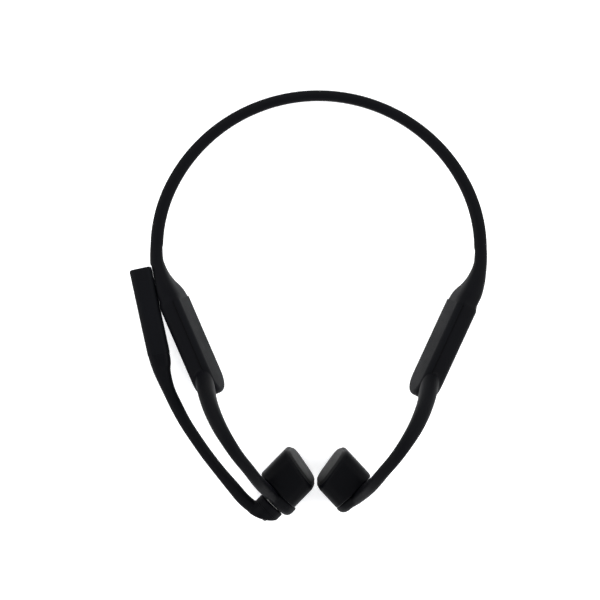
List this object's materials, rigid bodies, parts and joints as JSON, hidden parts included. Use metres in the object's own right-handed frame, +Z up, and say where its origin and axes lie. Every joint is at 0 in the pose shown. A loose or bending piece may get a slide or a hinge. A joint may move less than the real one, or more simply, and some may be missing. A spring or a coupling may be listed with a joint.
{
  "type": "bone conduction headphones",
  "caption": "Open-ear bone conduction headphones: neckband, ear hooks, two transducer pods and a folding boom microphone.",
  "frame": {"origin": "on the surface the headphones lie on, on the middle line, under the neckband loop", "axes": "+Z up from the surface, +Y towards the back of the neck, -Y the way the wearer faces. The boom is on the -X side, which is the wearer's right. In node names, left means the -X side and right the +X side, as they lie when looked down on with the pods nearest"},
  "size_m": [0.1382, 0.1687, 0.0408],
  "materials": {
    "silicone_black": "matte",
    "silicone_grey": "satin",
    "plastic_black": "matte",
    "plastic_charcoal": "satin",
    "button_black": "satin",
    "seal_rubber": "matte",
    "spring_metal": "satin",
    "cable_black": "matte",
    "copper_coil": "satin",
    "magnet_metal": "polished",
    "yoke_steel": "satin",
    "battery_foil": "satin",
    "circuit_board": "satin",
    "switch_metal": "satin",
    "contact_gold": "polished",
    "mesh_metal": "satin",
    "light_lens": "gloss"
  },
  "bodies": {
    "headset": {"headband_cover": "silicone_black", "headband_spring_wire": "spring_metal", "headband_cable": "cable_black", "battery_cell": "battery_foil", "battery_board": "circuit_board", "main_board": "circuit_board", "shield_can": "switch_metal", "charging_port": "button_black", "charging_contacts": "contact_gold", "status_light_lens": "light_lens", "volume_up_switch": "switch_metal", "volume_down_switch": "switch_metal", "boom_pivot_post": "spring_metal", "pivot_retaining_ring": "spring_metal", "pivot_wave_washer": "spring_metal", "multifunction_switch": "switch_metal", "left_neck_boot": "silicone_black", "right_neck_boot": "silicone_black", "left_pod_shell": "plastic_black", "right_pod_shell": "plastic_black", "left_contact_pad": "silicone_grey", "right_contact_pad": "silicone_grey", "left_suspension_plate": "yoke_steel", "right_suspension_plate": "yoke_steel", "left_transducer_yoke": "yoke_steel", "right_transducer_yoke": "yoke_steel", "left_transducer_magnet": "magnet_metal", "right_transducer_magnet": "magnet_metal", "left_transducer_top_plate": "yoke_steel", "right_transducer_top_plate": "yoke_steel", "left_voice_coil": "copper_coil", "right_voice_coil": "copper_coil", "left_hook_wire": "spring_metal", "right_hook_wire": "spring_metal", "left_hook_cable": "cable_black", "right_hook_cable": "cable_black", "left_housing_shell": "silicone_black", "right_housing_shell": "silicone_black", "left_housing_inner_cover": "plastic_charcoal", "right_housing_inner_cover": "plastic_charcoal", "left_housing_gasket": "seal_rubber", "right_housing_gasket": "seal_rubber", "left_hook_cover": "silicone_black", "right_hook_cover": "silicone_black"},
    "boom": {"boom_hub_base": "plastic_black", "boom_hub_cap": "silicone_black", "boom_arm": "silicone_black", "boom_arm_wire": "spring_metal", "mic_head_upper_cover": "plastic_charcoal", "mic_head_lower_cover": "plastic_charcoal", "voice_mic": "switch_metal", "noise_mic": "switch_metal", "voice_mic_mesh": "mesh_metal", "noise_mic_mesh": "mesh_metal", "mic_board": "circuit_board"},
    "multifunction_key": {"multifunction_button": "button_black"},
    "volume_up_key": {"volume_up_button": "button_black"},
    "volume_down_key": {"volume_down_button": "button_black"}
  },
  "joints": [
    {"name": "boom_swing", "type": "hinge", "parent": "headset", "child": "boom", "pos_m": [-0.0167, -0.07816, 0.0095], "axis": [0.6894, 0.7244, 0], "range_deg": [0, 240]},
    {"name": "multifunction_press", "type": "slide", "parent": "headset", "child": "multifunction_key", "axis": [0.6894, 0.7244, 0], "range_m": [0, 0.00045], "stiffness_N_per_m": 3000, "springref_m": -0.0004},
    {"name": "volume_up_press", "type": "slide", "parent": "headset", "child": "volume_up_key", "axis": [0.2208, -0.0988, 0.9703], "range_m": [0, 0.0005], "stiffness_N_per_m": 3000, "springref_m": -0.0004},
    {"name": "volume_down_press", "type": "slide", "parent": "headset", "child": "volume_down_key", "axis": [0.2208, -0.0988, 0.9703], "range_m": [0, 0.0005], "stiffness_N_per_m": 3000, "springref_m": -0.0004}
  ]
}
